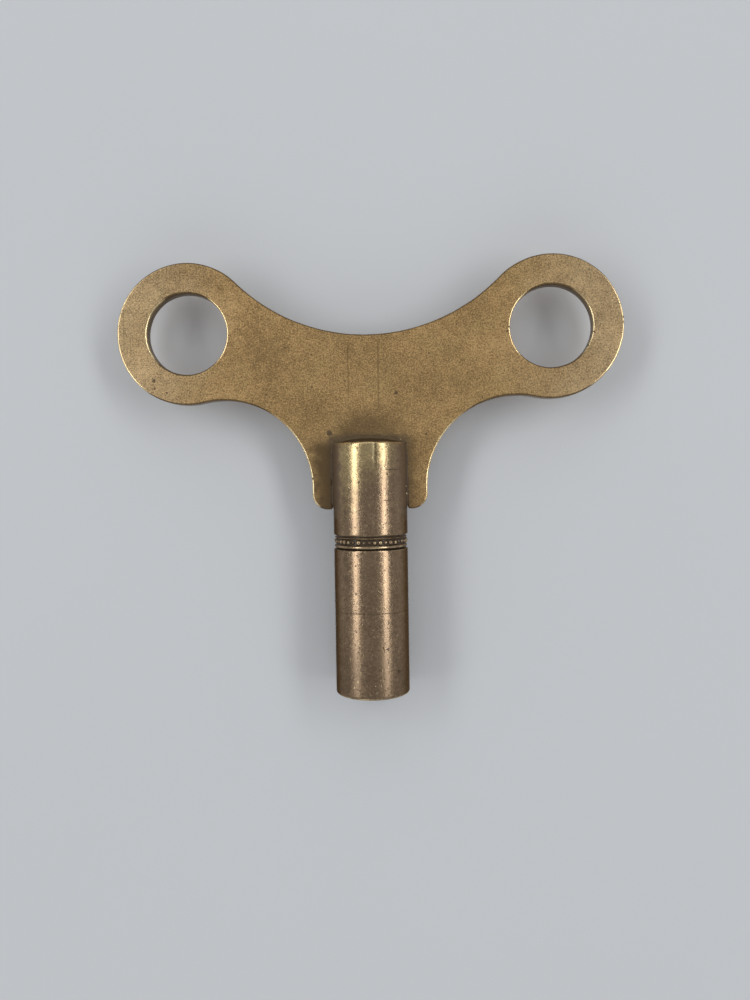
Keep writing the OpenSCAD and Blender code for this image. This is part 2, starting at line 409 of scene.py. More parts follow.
def bow_brass(f, s):
    """Satin stamped brass: fine speckle, tarnish clouds with painted shade and light, spots,
    lines, painted shade by the shank, burnished edges with painted highlights.
    """
    r = Recipe("bow_brass")
    at, x, y, _ = r.place()
    nx, ny, nz = r.facing()
    face = r.rise(abs(nz), 0.75, 0.98)
    upper = r.rise(nz, 0.75, 0.98)
    shank_r, top = s.shank_d / MM / 2, s.shank_len / MM
    dome_top = top + s.dome_rise / MM

    speckle = r.grain(at, 5.5, 2.0, 0.6)
    fleck = r.grain(at, 9.0, 2.0, 0.6)
    mottle = r.grain(at, 0.9, 4.0, 0.6)
    cloud = r.grain(at, 0.13, 3.0, 0.6)
    wander = mottle - 0.5

    # Tone: speckle and patches, with painted shade and light on the left lobe, greener in places,
    # paler and greyer towards the lobes' outer parts
    tone = (0.43 + (speckle - 0.5) * 2.3 + (fleck - 0.5) * 2.4 + wander * 0.7
            + (cloud - 0.5) * 1.2)
    for cloud_x, cloud_y, radius, change in BOW_PATCHES_AND_SHADING:
        off = span(x - cloud_x, y - cloud_y) + wander * 5
        tone = tone + r.rise(off, radius, radius * 0.2) * change
    olive = r.rise(r.grain(at, 0.21, 3.0, 0.6), 0.48, 0.62)
    # Paler and greyer towards the outer parts of the lobes
    paler_outwards = r.rise(abs(x) + (cloud - 0.5) * 16, 15.0, 29.0)
    colour = r.lay(
        r.mix(tone, f.bow_dull, f.bow_light),
        (olive, 0.12, r.shade(f.bow_olive, 0.7 + tone * 0.5)),
        (paler_outwards, 0.4, r.shade(f.bow_pale, 0.72 + tone * 0.5)))

    # Brown film left by the flame and by dirt over the joint, with painted shade there and beside
    # the shank on both legs, wider on the left
    over = span(x / shank_r, (y - top) / 4.1) + wander * 0.45
    over = r.rise(over, 1.4, 0.6) * r.rise(y, top - 1.0, top + 0.4)
    over = over * r.rise(x, -1.5, 3.5, 0.76, 0.62)
    # Painted shade beside the shank, wider on the left leg, with a little stain
    side = r.rise(x, -0.5, 0.5, 4.2, 2.0)
    beside = (abs(x) - shank_r) / side + wander * 0.7
    beside = r.rise(beside, 1.15, 0.25) * r.rise(y, top + 2.2, top - 0.6)
    beside = beside * r.rise(x, -1.0, 1.0, 0.96, 0.66)
    film_and_shade = r.larger(over, beside) * face
    colour = r.mix(film_and_shade, colour, r.shade(f.bow_dull, 0.30))

    # Dirt and painted shade in the corner against the shank
    corner = r.larger(abs(x) - shank_r, 0.0) + r.larger(y - dome_top, 0.0)
    corner = r.rise(corner + wander * 0.8, 0.85, 0.0) * face
    corner = corner * r.rise(y, top - 0.8, top + 0.6, 0.45, 1.0)

    # Pin pricks, spots, upright lines and fine scratches both ways
    pricks = r.rise(r.grain(at, 3.1, 2.0, 0.5), 0.66, 0.74) * face
    ragged = (speckle - 0.5) * 0.2
    spots = r.dots(x, y, ragged, BOW_SPOTS, 1.15, 0.55) * upper
    spots = r.larger(r.specks(at, 0.5, 0.25, 0.09) * face, spots)
    lines = 0.0
    for line_x, low, high, half in BOW_LINES:
        off = abs(x - line_x + wander * 0.10)
        within = r.rise(y, low, low + 1.5) * r.rise(y, high, high - 1.5)
        lines = r.larger(lines, r.rise(off, half * 2.4, half * 0.5) * within * upper)
    lines = lines * r.rise(speckle, 0.38, 0.55)
    hair = r.rise(r.grain(r.stretched(at, 7.0, 0.35, 1.0), 1.0, 2.0, 0.5), 0.66, 0.78) * face
    cross = r.rise(r.grain(r.stretched(at, 0.4, 8.0, 1.0), 1.0, 2.0, 0.5), 0.68, 0.80) * face
    colour = r.lay(
        colour, (corner, 0.7, f.dirt), (pricks, 0.14, f.dirt), (spots, 0.85, f.dirt),
        (lines, 0.5, f.dirt), (hair, 0.25, f.dirt), (cross, 0.2, f.bow_light))

    # Edges: rubbed bright where hands and valves touch, with painted highlights where they face
    # sideways to the lamps; painted shade where they face along the key and on the wall
    rim = r.rim()
    # Painted shade down the edge walls
    wall = r.rise(abs(nz), 0.55, 0.2)
    level = (nx * nx + ny * ny + 0.0001) ** 0.5
    outward = r.rise(abs(nx) / level, 0.45, 0.8) * r.rise(ny / level, 0.75, 0.45)
    patchy = r.rise(r.grain(at, 0.5, 3.0, 0.6), 0.36, 0.56)
    # Burnish on rims that face sideways: wear and painted highlight
    rubbed = rim * outward * (0.3 + 0.7 * patchy) * r.rise(abs(x) - shank_r, 0.3, 0.9)
    nicks = r.dots(x, y, (fleck - 0.5) * 0.1, BOW_NICKS, 1.2, 0.6)
    colour = r.lay(
        colour, (rim * (1 - outward), 0.8, f.dirt), (wall, 0.8, r.shade(f.bow_dull, 0.25)),
        (rubbed, 1.0, f.burnish), (nicks, 0.85, f.dirt))

    rough = (0.31 + (speckle - 0.5) * 0.3 + wander * 0.1 + film_and_shade * 0.2 + spots * 0.25
             - rubbed * 0.08)
    metallic = 1.0 - corner * 0.6 - spots * 0.5 - film_and_shade * 0.3
    height = ((speckle - 0.5) * 0.5 + (fleck - 0.5) * 0.4 + wander * 0.3 - pricks * 0.4
              - spots * 0.9 - lines * 0.15 - hair * 0.1)
    return r.metal(colour, metallic, rough, height, 0.009)


def shank_brass(f, s):
    """Turned brass gone brown: pitted, rubbed to gold near the top, dirty in its grooves, with
    painted shade down its flanks, beside the plate and on its domed end.
    """
    r = Recipe("shank_brass")
    at, x, y, z = r.place()
    _, ny, _ = r.facing()
    radius, top, foot = s.shank_d / MM / 2, s.shank_len / MM, s.leg_y / MM
    below = radius - span(x, z)
    outside = r.rise(below, 0.15, 0.05)
    upper = r.rise(z, 2.0, 3.2)

    speckle = r.grain(at, 3.6, 3.0, 0.7)
    fleck = r.grain(at, 8.0, 2.0, 0.6)
    mottle = r.grain(at, 1.1, 4.0, 0.65)
    cloud = r.grain(at, 0.22, 3.0, 0.55)
    rings = r.grain(r.stretched(at, 0.15, 9.0, 0.15), 1.0, 3.0, 0.6)
    drawn = r.grain(r.stretched(at, 5.0, 0.12, 5.0), 1.0, 2.0, 0.5)
    wander = mottle - 0.5

    # Patina: gold for the top few millimetres, brown and slightly pink below
    clean = r.rise(y - x * 0.9 + (cloud - 0.5) * 7 + wander * 6, top - 7.9, top + 0.6)
    clean = clean * r.rise(abs(z) + wander * 1.2, 2.3, 3.7)
    tone = (1.0 + (speckle - 0.5) * 1.1 + (fleck - 0.5) * 0.8 + wander * 0.5
            + (cloud - 0.5) * 0.5 + (drawn - 0.5) * 0.25)
    tone = tone * r.rise(y, -1.0, 15.0, 0.78, 1.0)
    colour = r.shade(r.mix(clean, f.shank_brown, f.shank_gold), tone)

    # Corrosion pits with ragged outlines, and the bright flecks between them
    thick = r.rise(cloud, 0.35, 0.65, 0.45, 1.0)
    pits = r.rise(r.grain(r.stretched(at, 2.7, 1.9, 2.7), 1.0, 3.0, 0.6), 0.60, 0.70) * thick
    pits = r.larger(pits, r.specks(at, 0.9, 0.2, 0.17)) * outside
    gleam = r.rise(r.grain(r.stretched(at, 4.1, 2.6, 4.1), 1.0, 2.0, 0.6), 0.62, 0.72) * outside

    # A stake mark on the upper side and its slit, two slips of a file, a dent and the scribed line
    sway = wander * 0.3
    stake = r.rise(abs(x - 0.60 + sway), 0.17, 0.06) * r.rise(y, top - 3.2, top - 1.8) * upper
    slit = r.rise(abs(x - 0.87 + sway), 0.19, 0.08) * r.rise(y, top - 3.6, top - 2.0) * upper
    slip = r.rise(abs(y - top + 3.25), 0.08, 0.02) * r.rise(abs(x - 3.1), 1.2, 0.9)
    short = r.rise(abs(y - top + 6.85), 0.08, 0.02) * r.rise(abs(x - 2.2), 0.6, 0.4)
    slips = r.larger(slip, short) * upper
    dent = r.rise(span(x - 3.25, y - 3.2), 0.26, 0.12) * upper
    line = r.rise(abs(y - s.scribe_rise / MM), 0.13, 0.03) * outside * r.rise(mottle, 0.3, 0.5)
    marks = r.larger(r.larger(slit * 0.75, slips), r.larger(dent, line * 0.5))

    # Dirt in the grooves; dirt and painted shade on the domed end; painted shade down the flanks
    # and along the plate
    mouth = r.rise(abs(ny), 0.6, 0.85) * r.rise(y, 0.6, 0.3)
    groove = r.rise(below, 0.10, 0.26) * (1 - mouth)
    top_end = r.rise(y, top - 0.2, top + 0.02) * r.rise(below, 0.12, 0.22)
    # Painted shade down both flanks, also taken off the coat
    shaded_flanks = r.rise(abs(z) + wander * 0.9, 3.7, 1.6) * outside
    ragged = wander * 3.5 + (speckle - 0.5) * 1.5
    # Painted shade on the sides beside the plate, over the plate's reflection
    shade_by_plate = r.rise(abs(z) + ragged * 0.5, 3.7, 1.9) * outside
    shade_by_plate = shade_by_plate * r.rise(y + ragged, foot - 1.8, foot + 2.0)

    # Rubbed rims, ridge tops and beads
    rubbed = r.rim() * (0.2 + 0.8 * r.rise(mottle, 0.42, 0.6)) * (1 - shade_by_plate)

    # The painted shade's colour
    film_and_shade = r.shade(f.shank_brown, 0.3)
    colour = r.lay(
        colour, (pits, 0.7, f.dirt), (gleam, 0.35, f.burnish), (marks, 0.7, f.dirt),
        (stake, 0.6, f.burnish), (groove, 0.92, r.shade(f.dirt, 0.7)), (top_end, 0.85, f.dirt),
        (shaded_flanks, r.rise(x, -1.0, 1.0, 0.8, 0.6), film_and_shade), (shade_by_plate, 0.7, film_and_shade),
        (rubbed, 0.75, f.burnish))
    rough = (r.rise(y, 1.0, 14.0, 0.325, 0.235) + (speckle - 0.5) * 0.25 + wander * 0.1
             + pits * 0.15 + groove * 0.25 + top_end * 0.2 + shade_by_plate * 0.35 - gleam * 0.04
             - rubbed * 0.05)
    dull = r.larger(r.larger(groove, top_end) * 0.6, r.larger(pits * 0.35, shade_by_plate * 0.9))
    height = ((speckle - 0.5) * 0.7 + (fleck - 0.5) * 0.55 + wander * 0.3 + (rings - 0.5) * 0.2
              + (drawn - 0.5) * 0.3 - pits * 0.9 + gleam * 0.2 - slit * 0.7 - slips * 0.8
              - dent * 1.2 - line * 0.3)
    return r.metal(colour, 1.0 - dull, rough, height, 0.013, **{
        "Specular Tint": (0.50, 0.42, 0.36),
        "Coat Weight": 0.32 - shaded_flanks * 0.3,
        "Coat Roughness": 0.24})


def old_solder(f, s):
    """Dull dark solder with traces of flux and a few bright spots, browner beside the shank."""
    r = Recipe("old_solder")
    at, _, y, _ = r.place()
    top = s.shank_len / MM
    lumps = r.grain(at, 2.2, 4.0, 0.6)
    fine = r.grain(at, 8.0, 2.0, 0.5)
    bright = r.specks(at, 1.6, 0.16, 0.2)
    colour = r.mix(r.rise(y, top - 1.4, top + 0.2), r.shade(f.shank_brown, 0.3), f.solder)
    colour = r.lay(
        r.shade(colour, 0.55 + lumps * 0.9),
        (bright, 0.7, f.burnish), (r.rise(fine, 0.58, 0.7), 0.4, f.dirt))
    rough = 0.5 + (fine - 0.5) * 0.4 - bright * 0.2
    height = (lumps - 0.5) * 1.2 + (fine - 0.5) * 0.5
    return r.metal(colour, 0.55 + bright * 0.4, rough, height, 0.04)


def floor_paint(f):
    """Plain matt paint, very slightly uneven."""
    r = Recipe("plain_floor")
    soft = r.grain(r.place()[0], 0.02, 3.0, 0.5)
    colour = r.shade(f.floor, 0.985 + (soft - 0.5) * 0.03)
    return r.metal(colour, 0.0, 0.9, soft, 0.001)


# ---------------------------------------------------------------- shapes, in millimetres


# Steps in the shank's side: height past a datum, depth below the full radius, and rub.
# The datums are the mouth, the scribed line, the bead row and the rim of the domed end.
# Each list but the last goes on with plain rings, up to near the next datum.
MOUTH_STEPS = [
    (0.0, 0.5, 0.0), (0.0, 0.24, 0.5), (0.035, 0.13, 1.0), (0.12, 0.035, 0.8),
    (0.26, 0.0, 0.0), (0.5, 0.0, 0.0),
] + [(up, 0.0, 0.0) for up in (1.5, 3.0, 4.5, 6.0, 7.5, 9.0)]
SCRIBE_STEPS = [
    (-0.14, 0.0, 0.0), (-0.07, 0.003, 0.0), (0.0, 0.015, 0.0), (0.07, 0.003, 0.0),
    (0.14, 0.0, 0.0),
] + [(up, 0.0, 0.0) for up in (1.4, 2.8, 4.2, 5.4, 6.4)]
GROOVE_AND_RIDGE_STEPS = [
    (-1.19, 0.0, 0.0), (-1.04, 0.0, 0.0), (-0.96, 0.03, 0.4), (-0.91, 0.16, 0.0),
    (-0.87, 0.36, 0.0), (-0.82, 0.40, 0.0), (-0.77, 0.36, 0.0), (-0.73, 0.22, 0.0),
    (-0.69, 0.135, 0.1), (-0.63, 0.105, 0.5), (-0.56, 0.10, 0.5), (-0.49, 0.115, 0.3),
    (-0.43, 0.16, 0.0), (-0.38, 0.25, 0.0), (-0.33, 0.31, 0.0),
]
TRACK_STEPS = [
    (up, 0.32, 0.0)
    for up in (-0.29, -0.24, -0.19, -0.13, -0.065, 0.0, 0.065, 0.13, 0.19, 0.24, 0.29)
]
RIDGE_AND_GROOVE_STEPS = [
    (0.36, 0.31, 0.0), (0.40, 0.22, 0.0), (0.43, 0.13, 0.2), (0.47, 0.10, 0.4),
    (0.51, 0.12, 0.2), (0.55, 0.19, 0.0), (0.60, 0.25, 0.0), (0.66, 0.26, 0.0),
    (0.72, 0.23, 0.0), (0.77, 0.12, 0.0), (0.81, 0.03, 0.4), (0.87, 0.0, 0.0), (1.0, 0.0, 0.0),
]
ABOVE_BAND_STEPS = [(up, 0.0, 0.0) for up in (1.8, 3.0, 4.2, 5.4, 6.6, 7.8, 9.0, 10.2, 11.0)]
BAND_STEPS = GROOVE_AND_RIDGE_STEPS + TRACK_STEPS + RIDGE_AND_GROOVE_STEPS + ABOVE_BAND_STEPS
TOP_STEPS = [(-0.25, 0.0, 0.0), (-0.12, 0.03, 0.4), (-0.04, 0.1, 0.8), (0.0, DOME_INSET, 0.3)]
# Radii of the ring on the mouth's face and of the rings on the domed end
MOUTH_RING = 3.2
DOME_RINGS = (4.0, 3.4, 2.6, 1.8, 1.0)


def uneven(x, y, z):
    """Smooth unevenness between about -1 and 1."""
    return noise.noise(Vector((x, y, z)))


def line_run(a, b, step):
    """Points from a to b, each with the direction to the right of the way travelled."""
    a, b = Vector(a), Vector(b)
    n = max(1, math.ceil((b - a).length / step))
    way = (b - a).normalized()
    out = Vector((way.y, -way.x))
    return [(a.lerp(b, i / n), out) for i in range(n + 1)]


def arc_run(centre, radius, start, end, step):
    """Points on an arc, each with the direction to the right of the way travelled."""
    n = max(2, math.ceil(abs(end - start) * radius / step))
    side = 1 if end > start else -1
    run = []
    for i in range(n + 1):
        a = start + (end - start) * i / n
        ray = Vector((math.cos(a), math.sin(a)))
        run.append((Vector(centre) + radius * ray, side * ray))
    return run


def bow_edge(s, step=0.35):
    """The bow's outer edge, anticlockwise, as points and outward directions."""
    hole_x, hole_y, lobe_r = s.hole_x / MM, s.hole_y / MM, s.lobe_r / MM
    leg_y, leg_in = s.leg_y / MM, s.shank_d / MM / 2 + NOTCH_CLEAR
    leg_out = leg_in + s.leg_w / MM
    waist_y = leg_y + LEG_STRAIGHT
    notch_y = s.shank_len / MM - SLOT_DEPTH + FLOOR_CLEAR
    inner, outer = LEG_INNER_R, LEG_OUTER_R
    # The top arc and both side arcs are tangent to the lobes
    dip = s.top_dip / MM
    top_r = (hole_x ** 2 + dip ** 2 - lobe_r ** 2) / (2 * (lobe_r + dip))
    top_y = hole_y - dip + top_r
    dx, dy = hole_x - leg_out, hole_y - waist_y
    side_r = (dx ** 2 + dy ** 2 - lobe_r ** 2) / (2 * (lobe_r + dx))
    side_x = leg_out + side_r
    to_side = math.atan2(waist_y - hole_y, side_x - hole_x)
    to_top = math.atan2(top_y - hole_y, -hole_x)
    # The right half, from the middle of the notch round to the middle of the top
    right = line_run((0, notch_y), (leg_in, notch_y), step)
    for run in (
        line_run((leg_in, notch_y), (leg_in, leg_y + inner), step),
        arc_run((leg_in + inner, leg_y + inner), inner, math.pi, 1.5 * math.pi, 0.08)[1:],
        line_run((leg_in + inner, leg_y), (leg_out - outer, leg_y), step)[1:],
        arc_run((leg_out - outer, leg_y + outer), outer, -math.pi / 2, 0, 0.2)[1:],
        line_run((leg_out, leg_y + outer), (leg_out, waist_y), step)[1:],
        arc_run((side_x, waist_y), side_r, math.pi, to_side + math.pi, step)[1:],
        arc_run((hole_x, hole_y), lobe_r, to_side, to_top, step)[1:],
        arc_run((0, top_y), top_r, to_top - math.pi, -math.pi / 2, step)[1:],
    ):
        right += run
    mirrored = [(Vector((-p.x, p.y)), Vector((-n.x, n.y))) for p, n in reversed(right)]
    return right + mirrored[1:-1]


def hole_edge(x, y, radius, step=0.3):
    """A finger hole's edge, clockwise, as points and directions into the hole."""
    return arc_run((x, y), radius, 2 * math.pi, 0, step)[:-1]


def edge_step(kind, share, roll, burr, half_t):
    """One step down the bow's edge: how far in from the outline, its height and its rub."""
    turn = share * math.pi / 2
    if kind == "upper":
        return roll + 0.05, half_t, 0.0
    if kind == "roll":
        rub = {0.0: 0.0, 1.0: 0.35}.get(share, 1.0)
        return roll * (1 - math.sin(turn)), half_t - roll * (1 - math.cos(turn)), rub
    if kind == "wall":
        return 0.0, 0.0, 0.0
    if kind == "burr":
        rub = 0.4 if 0 < share < 1 else 0.0
        return burr * (1 - math.sin(turn)), burr * (1 - math.cos(turn)) - half_t, rub
    return burr + 0.05, -half_t, 0.0


def stamped_rings(edge, s):
    """Rings from the upper face, over the rolled edge and down the wall to the lower face."""
    steps = [("upper", 0)] + [("roll", k / 5) for k in range(6)] + [("wall", 0)]
    steps += [("burr", 1 - k / 3) for k in range(4)] + [("lower", 0)]
    rings = []
    for kind, share in steps:
        ring = []
        for p, n in edge:
            roll = s.edge_roll / MM * (1 + 0.35 * uneven(p.x * 0.22, p.y * 0.22, 3.1))
            burr = s.edge_burr / MM * (1 + 0.3 * uneven(p.x * 0.4, p.y * 0.4, 8.7))
            inset, z, rub = edge_step(kind, share, roll, burr, s.plate_t / MM / 2)
            inset += 0.012 * (1 + uneven(p.x * 0.9, p.y * 0.9, 5.5))
            q = p - n * inset
            ring.append((Vector((q.x, q.y, z)), rub))
        rings.append(ring)
    return rings


def new_mesh(name, points, faces):
    """A closed mesh with its faces turned outward."""
    mesh = bpy.data.meshes.new(name)
    mesh.from_pydata(points, [], faces)
    face_outward(mesh)
    return mesh


def face_outward(mesh, scale=1.0):
    """Turns a mesh's faces outward and scales it."""
    bm = bmesh.new()
    bm.from_mesh(mesh)
    bmesh.ops.recalc_face_normals(bm, faces=bm.faces)
    bmesh.ops.scale(bm, vec=(scale, scale, scale), verts=bm.verts)
    bm.to_mesh(mesh)
    bm.free()


def mark_rim(mesh, values):
    """Stores how much each point is rubbed, for the shader."""
    mesh.attributes.new(RIM, "FLOAT", "POINT").data.foreach_set("value", values)


def finish_mesh(mesh, crease_deg):
    """Turns a mesh from millimetres to metres, smooth but for its creases."""
    face_outward(mesh, MM)
    mesh.shade_smooth()
    mesh.set_sharp_from_angle(angle=math.radians(crease_deg))
    mesh.update()
    return mesh


def add_piece(name, mesh, material, node):
    """Puts a finished mesh in the scene: it rides the key and stands for a CAD node."""
    piece = bpy.data.objects.new(name, mesh)
    bpy.context.scene.collection.objects.link(piece)
    mesh.materials.clear()
    mesh.materials.append(material)
    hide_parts(node)
    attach(piece, "root")


def bow_mesh(s):
    """The bow: rings joined down every edge, and both faces filled round the holes."""
    hole_x, hole_y, hole_r = s.hole_x / MM, s.hole_y / MM, s.hole_d / MM / 2
    edges = (bow_edge(s), hole_edge(hole_x, hole_y, hole_r), hole_edge(-hole_x, hole_y, hole_r))
    points, rub, faces, outer, inner = [], [], [], [], []
    for edge in edges:
        rings = stamped_rings(edge, s)
        first, count = len(points), len(edge)
        for ring in rings:
            points += [p for p, _ in ring]
            rub += [v for _, v in ring]
        for a in range(first, len(points) - count, count):
            b = a + count
            for i in range(count):
                j = (i + 1) % count
                faces.append((a + i, b + i, b + j, a + j))
        outer.append(range(first, first + count))
        inner.append(range(len(points) - count, len(points)))
    for outlines in (outer, inner):
        index = [i for outline in outlines for i in outline]
        at = {i: k for k, i in enumerate(index)}
        flat = [points[i].xy for i in index]
        loops = [[at[i] for i in outline] for outline in outlines]
        made, _, fills, origins, _, _ = delaunay_2d_cdt(flat, [], loops, FILL_INSIDE, 1e-6)
        if len(made) != len(flat):
            raise RuntimeError("the bow's outlines cross")
        faces += [tuple(index[origins[i][0]] for i in fill) for fill in fills]
    mesh = new_mesh("bow", points, faces)
    mark_rim(mesh, rub)
    return finish_mesh(mesh, 50)


def dome_radius(s):
    """The radius of the ball that the shank's domed end is part of."""
    rim_r, rise = s.shank_d / MM / 2 - DOME_INSET, s.dome_rise / MM
    return (rim_r ** 2 + rise ** 2) / (2 * rise)


def shank_rows(s):
    """The shank's half section as height, radius and rub, with every edge a little worn."""
    r, top = s.shank_d / MM / 2, s.shank_len / MM
    rows = [(0.0, MOUTH_RING, 0.0)]
    for datum, steps in (
        (0.0, MOUTH_STEPS), (s.scribe_rise / MM, SCRIBE_STEPS),
        (s.bead_rise / MM, BAND_STEPS), (top, TOP_STEPS),
    ):
        rows += [(datum + up, r - deep, rub) for up, deep, rub in steps]
    ball = dome_radius(s)
    centre = top + s.dome_rise / MM - ball
    return rows + [(centre + math.sqrt(ball ** 2 - d ** 2), d, 0.0) for d in DOME_RINGS]


def lathe(rows, columns, low_tip, high_tip, reach=lambda row, a: row[1]):
    """A closed turned mesh along +Y; reach gives the radius at a row and an angle."""
    points, faces = [], []
    for row in rows:
        for i in range(columns):
            a = 2 * math.pi * i / columns
            d = reach(row, a)
            points.append((d * math.sin(a), row[0], d * math.cos(a)))
    last = (len(rows) - 1) * columns
    for a in range(0, last, columns):
        b = a + columns
        for i in range(columns):
            j = (i + 1) % columns
            faces.append((a + i, a + j, b + j, b + i))
    for tip, base in ((low_tip, 0), (high_tip, last)):
        points.append((0, tip, 0))
        for i in range(columns):
            faces.append((len(points) - 1, base + i, base + (i + 1) % columns))
    return new_mesh("turned", points, faces)


def block(x, y0, y1, z):
    """A square-cornered bar, x and z to each side of the axis, from y0 to y1."""
    ends = ((-x, -z), (x, -z), (x, z), (-x, z))
    corners = [(px, y, pz) for y in (y0, y1) for px, pz in ends]
    sides = [(0, 1, 2, 3), (7, 6, 5, 4), (0, 4, 5, 1), (1, 5, 6, 2), (2, 6, 7, 3), (3, 7, 4, 0)]
    return new_mesh("bar", corners, sides)


def cut_with(mesh, tools):
    """Cuts each tool's shape out of a mesh, exactly, and returns the new mesh."""
    scene = bpy.context.scene
    blank = bpy.data.objects.new("blank", mesh)
    scene.collection.objects.link(blank)
    cutters = []
    for tool in tools:
        cutter = bpy.data.objects.new("cutter", tool)
        scene.collection.objects.link(cutter)
        cutters.append(cutter)
        cut = blank.modifiers.new("cut", "BOOLEAN")
        cut.operation = "DIFFERENCE"
        cut.solver = "EXACT"
        cut.object = cutter
    bpy.context.view_layer.update()
    whole = blank.evaluated_get(bpy.context.evaluated_depsgraph_get())
    made = bpy.data.meshes.new_from_object(whole)
    for o in [blank] + cutters:
        old = o.data
        bpy.data.objects.remove(o)
        bpy.data.meshes.remove(old)
    bm = bmesh.new()
    bm.from_mesh(made)
    bmesh.ops.remove_doubles(bm, verts=bm.verts, dist=SLIVER)
    bmesh.ops.dissolve_degenerate(bm, edges=bm.edges, dist=SLIVER)
    bm.to_mesh(made)
    bm.free()
    return made


def shank_mesh(s):
    """The shank: turned with its beads, then slotted, drilled and broached."""
    r, top, bead = s.shank_d / MM / 2, s.shank_len / MM, s.bead_rise / MM
    bead_r, count = s.bead_d / MM / 2, s.bead_count
    columns = count * BEAD_COLUMNS
    pitch = 2 * math.pi / count
    seat = r - BEAD_SINK - bead_r

    def reach(row, a):
        """The radius at a row and an angle: each bead has its own size, place and wear."""
        y, base, _ = row
        d = base
        if abs(y - bead) < TRACK_HALF:
            k = round(a / pitch)
            worn = uneven(k % count * 1.7, 4.2, 0.3)
            slip = Vector((k % count * 2.3, 9.1, 0.7))
            size = bead_r * (1.02 + 0.25 * worn)
            round_by = (a - k * pitch) * r * 0.97 + 0.06 * noise.noise(slip)
            up_by = y - bead - 0.07 * noise.noise(slip * 1.9)
            away2 = up_by ** 2 + round_by ** 2
            if away2 < size ** 2:
                flat = 0.16 * max(0.0, -worn)
                d = max(d, seat + math.sqrt(size ** 2 - away2) - flat)
        if base > r - 0.5:
            d += 0.012 * uneven(d * math.sin(a) * 0.5, y * 0.3, d * math.cos(a) * 0.5)
        return d

    rows = shank_rows(s)
    turned = lathe(rows, columns, 0.0, top + s.dome_rise / MM, reach)
    rub = []
    for k, (y, _, rubbed) in enumerate(rows):
        for i in range(columns):
            if abs(y - bead) < TRACK_HALF:
                p = turned.vertices[k * columns + i].co
                proud = math.hypot(p.x, p.z) - (r - 0.2)
                kept = 0.5 + 0.9 * uneven(i / BEAD_COLUMNS * 0.9, 3.3, 1.1)
                rubbed = min(0.8, max(0.0, proud / 0.16 * kept))
            rub.append(rubbed)
    mark_rim(turned, rub + [0.0, 0.0])

    half, deep = s.socket_af / MM / 2, s.socket_depth / MM
    pilot, end = half + PILOT_OVER, deep + PILOT_PAST
    point = end + pilot / math.tan(math.radians(DRILL_HALF_ANGLE))
    drill = [(-PAST, pilot), (end, pilot)]
    lead = [(-PAST, pilot + (LEAD_IN + PAST)), (LEAD_IN, pilot)]
    tools = [
        block(r * 2, top - SLOT_DEPTH, top + 3, s.plate_t / MM / 2 + SLOT_CLEAR),
        lathe(drill, TOOL_COLUMNS, -PAST, point),
        lathe(lead, TOOL_COLUMNS, -PAST, LEAD_IN),
        block(half, -PAST, deep, half),
    ]
    return finish_mesh(cut_with(turned, tools), 38)


def seam_path(s, step=0.16):
    """The seam on the plate's face: up one side, round the domed end, down the other."""
    r, top, half_t = s.shank_d / MM / 2, s.shank_len / MM, s.plate_t / MM / 2
    side = math.sqrt(r ** 2 - half_t ** 2)
    ball = dome_radius(s)
    bow = math.sqrt(ball ** 2 - half_t ** 2)
    centre = top + s.dome_rise / MM - ball
    low, high = s.leg_y / MM + 0.25, top - SEAM_TUCK
    turn = math.asin((side - SEAM_TUCK) / bow)
    left = line_run((-side, low), (-side, high), step)
    end = arc_run((0, centre), bow, math.pi / 2 + turn, math.pi / 2 - turn, step)
    right = line_run((side, high), (side, low), step)
    return [(p, -n) for p, n in left + end + right]


def solder_mesh(s):
    """A lumpy fillet along the seam on both faces of the plate."""
    half_t, seam, path = s.plate_t / MM / 2, s.seam / MM, seam_path(s)
    n, last = len(path), SEAM_COLUMNS - 1
    points, faces = [], []
    for face in (1, -1):
        first = len(points)
        for i, (p, out) in enumerate(path):
            size = 0.85 + 0.4 * uneven(p.x * 0.8, p.y * 0.8, 2.0 * face)
            size = seam * (size + 0.12 * uneven(p.x * 4.0, p.y * 4.0, 6.0 * face))
            size *= 0.35 + 0.65 * min(1.0, min(i, n - 1 - i) / 4)
            # Wider over the domed end, where the dark solder also stands for the shade in the gap
            # by the shank's rim
            size *= 0.9 + 0.45 * math.cos(p.x * 0.33) if abs(out.y) > 0.5 else 0.7
            for k in range(SEAM_COLUMNS):
                a = k / last * math.pi / 2
                if k == 0:
                    off, rise = size, -0.03
                elif k == last:
                    off, rise = -0.25, size * 1.2
                else:
                    off = size * (1 - math.sin(a)) ** 1.15
                    rise = size * (1 - math.cos(a)) ** 1.05
                    lump = 0.02 * uneven((p.x + off * 3) * 6.0, p.y * 6.0, 3.0 + rise)
                    off, rise = off + lump, max(0.0, rise + lump)
                q = p + out * off
                points.append((q.x, q.y, face * (half_t + rise)))
        for a in range(first, first + (n - 1) * SEAM_COLUMNS, SEAM_COLUMNS):
            b = a + SEAM_COLUMNS
            for k in range(SEAM_COLUMNS):
                j = (k + 1) % SEAM_COLUMNS
                faces.append((a + k, a + j, b + j, b + k))
        ends = (range(first, first + SEAM_COLUMNS), range(len(points) - SEAM_COLUMNS, len(points)))
        faces += [tuple(ends[0]), tuple(reversed(ends[1]))]
    return finish_mesh(new_mesh("solder", points, faces), 70)


# ---------------------------------------------------------------- stage


